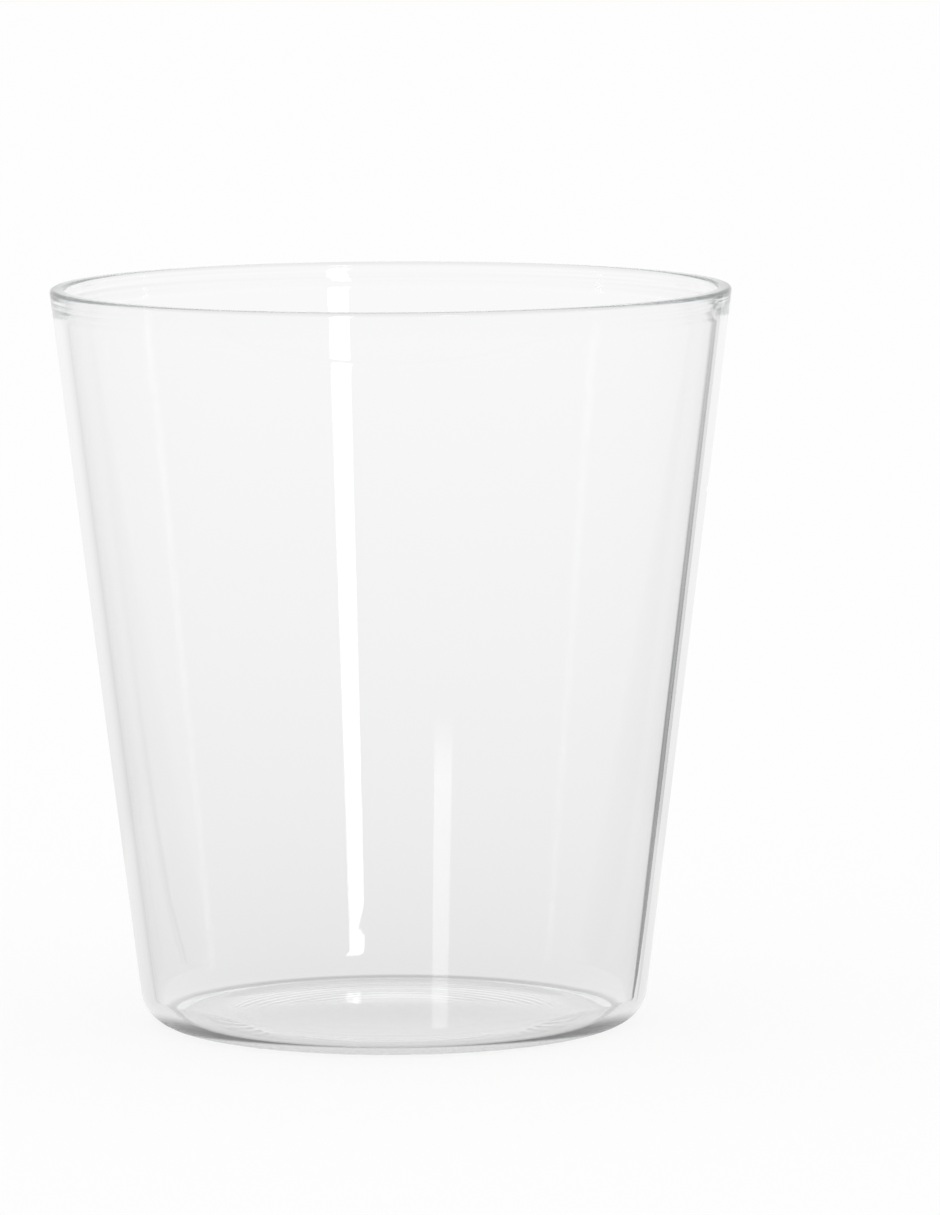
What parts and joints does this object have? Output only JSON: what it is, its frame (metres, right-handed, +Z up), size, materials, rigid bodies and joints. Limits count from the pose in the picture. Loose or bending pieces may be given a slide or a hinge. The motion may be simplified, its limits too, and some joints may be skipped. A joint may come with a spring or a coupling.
{
  "type": "water glass",
  "caption": "Clear thin-walled conical water tumbler with a rounded heel, a flat standing ring and a fire-polished lip, for serving water and other drinks.",
  "frame": {"origin": "centre of the standing ring, on the table that the glass stands on", "axes": "+Z up along the turning axis of the glass; X and Y lie on the table and are alike, because the glass is round"},
  "size_m": [0.08, 0.08, 0.087],
  "materials": {
    "glass": "clear, colourless, fire-polished, smooth on both sides"
  },
  "bodies": {
    "root": {"base": "glass", "side_wall": "glass", "rim": "glass"}
  },
  "joints": []
}
